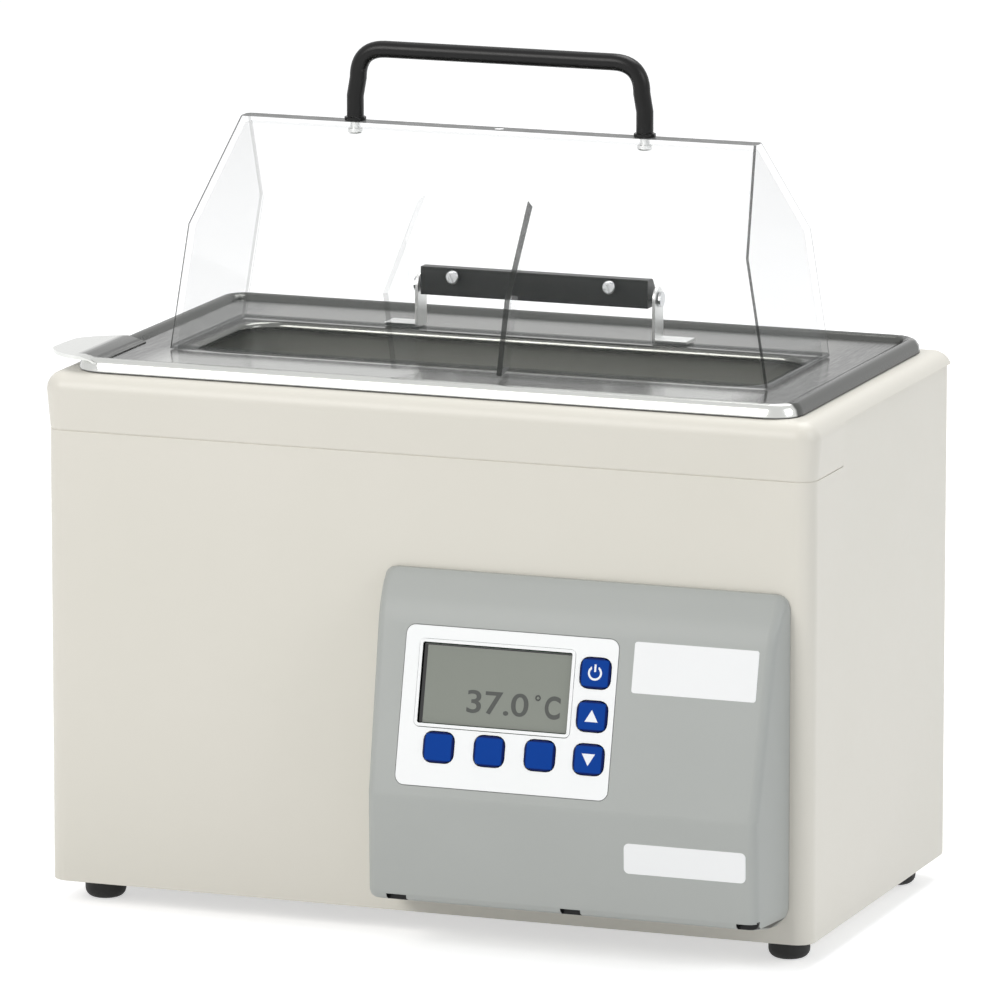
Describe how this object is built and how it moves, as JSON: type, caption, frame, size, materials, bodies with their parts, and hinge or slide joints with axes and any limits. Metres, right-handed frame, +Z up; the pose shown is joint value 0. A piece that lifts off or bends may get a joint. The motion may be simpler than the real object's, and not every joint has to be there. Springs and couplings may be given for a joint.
{
  "type": "laboratory water bath",
  "caption": "Bench water bath with a painted steel housing, a pressed stainless tank and deck, a clear hinged gable lid with bar handle, and a wedge-shaped front console with display and keys.",
  "frame": {"origin": "middle of the overall box in X and Y, on the plane that the feet stand on", "axes": "+Z up, -Y towards the front with the console, +X to the right as seen from the front"},
  "size_m": [0.3594, 0.231, 0.3736],
  "materials": {
    "enamel": "warm white textured powder coat",
    "stainless": "bright pressed stainless sheet",
    "clear_plastic": "clear moulded plastic",
    "grey_plastic": "fine-grained light grey moulding",
    "white_film": "satin white keypad film",
    "blue_key": "blue key top with a soft edge",
    "black_plastic": "black moulding",
    "rubber": "black moulded rubber",
    "display": "grey-green display glass",
    "circuit_board": "green solder mask",
    "mineral_wool": "pressed mineral wool",
    "silicone": "red-brown silicone rubber",
    "screw_steel": "bright steel",
    "brass": "plain brass",
    "aluminium": "extruded aluminium",
    "lead_sheath": "grey cable sheath",
    "core_iron": "varnished iron laminations and winding"
  },
  "bodies": {
    "housing": {"base_pan": "enamel", "foot_front_left": "rubber", "foot_front_right": "rubber", "foot_rear_left": "rubber", "foot_rear_right": "rubber", "housing_wrap": "enamel", "back_panel": "enamel", "panel_screw_1": "screw_steel", "panel_screw_2": "screw_steel", "panel_screw_3": "screw_steel", "panel_screw_4": "screw_steel", "top_cover": "enamel", "tank": "stainless", "tank_gasket": "silicone", "heater_mat": "silicone", "tank_jacket": "mineral_wool", "overheat_cutout": "black_plastic", "temperature_probe": "screw_steel", "tank_bridge_left": "stainless", "tank_bridge_right": "stainless", "hinge_pin": "screw_steel", "hinge_ear_left": "stainless", "hinge_ear_right": "stainless", "console_shell": "grey_plastic", "console_screw_upper_left": "screw_steel", "console_screw_upper_right": "screw_steel", "console_screw_lower_left": "screw_steel", "console_screw_lower_right": "screw_steel", "keypad_film": "white_film", "display_bezel": "black_plastic", "display_window": "display", "display_module": "circuit_board", "keypad_board": "circuit_board", "mains_inlet": "black_plastic", "inlet_contacts": "brass", "switch_frame": "black_plastic", "power_board": "circuit_board", "transformer": "core_iron", "triac_heat_sink": "aluminium", "heater_relay": "black_plastic", "heater_lead": "lead_sheath", "mains_lead": "lead_sheath", "keypad_ribbon": "lead_sheath"},
    "lid": {"lid_shell": "clear_plastic", "lid_handle": "black_plastic", "handle_washer_left": "clear_plastic", "handle_washer_right": "clear_plastic", "handle_screw_left": "screw_steel", "handle_screw_right": "screw_steel", "hinge_bar": "black_plastic", "hinge_screw_1": "screw_steel", "hinge_screw_2": "screw_steel"},
    "power_key": {"key_power": "blue_key"},
    "up_key": {"key_up": "blue_key"},
    "down_key": {"key_down": "blue_key"},
    "left_key": {"key_row_left": "blue_key"},
    "middle_key": {"key_row_middle": "blue_key"},
    "right_key": {"key_row_right": "blue_key"},
    "rocker": {"switch_rocker": "black_plastic"}
  },
  "joints": [
    {"name": "lid_hinge", "type": "hinge", "parent": "housing", "child": "lid", "pos_m": [0.00325, 0.05907, 0.2587], "axis": [-1, 0, 0], "range_deg": [0, 95]},
    {"name": "power_key_press", "type": "slide", "parent": "housing", "child": "power_key", "axis": [0, 0.9728, -0.2316], "range_m": [0, 0.0006], "stiffness_N_per_m": 800, "springref_m": -0.0003},
    {"name": "up_key_press", "type": "slide", "parent": "housing", "child": "up_key", "axis": [0, 0.9728, -0.2316], "range_m": [0, 0.0006], "stiffness_N_per_m": 800, "springref_m": -0.0003},
    {"name": "down_key_press", "type": "slide", "parent": "housing", "child": "down_key", "axis": [0, 0.9728, -0.2316], "range_m": [0, 0.0006], "stiffness_N_per_m": 800, "springref_m": -0.0003},
    {"name": "left_key_press", "type": "slide", "parent": "housing", "child": "left_key", "axis": [0, 0.9728, -0.2316], "range_m": [0, 0.0006], "stiffness_N_per_m": 800, "springref_m": -0.0003},
    {"name": "middle_key_press", "type": "slide", "parent": "housing", "child": "middle_key", "axis": [0, 0.9728, -0.2316], "range_m": [0, 0.0006], "stiffness_N_per_m": 800, "springref_m": -0.0003},
    {"name": "right_key_press", "type": "slide", "parent": "housing", "child": "right_key", "axis": [0, 0.9728, -0.2316], "range_m": [0, 0.0006], "stiffness_N_per_m": 800, "springref_m": -0.0003},
    {"name": "rocker_tilt", "type": "hinge", "parent": "housing", "child": "rocker", "pos_m": [-0.06475, 0.11057, 0.043], "axis": [-1, 0, 0], "range_deg": [0, 22]}
  ]
}
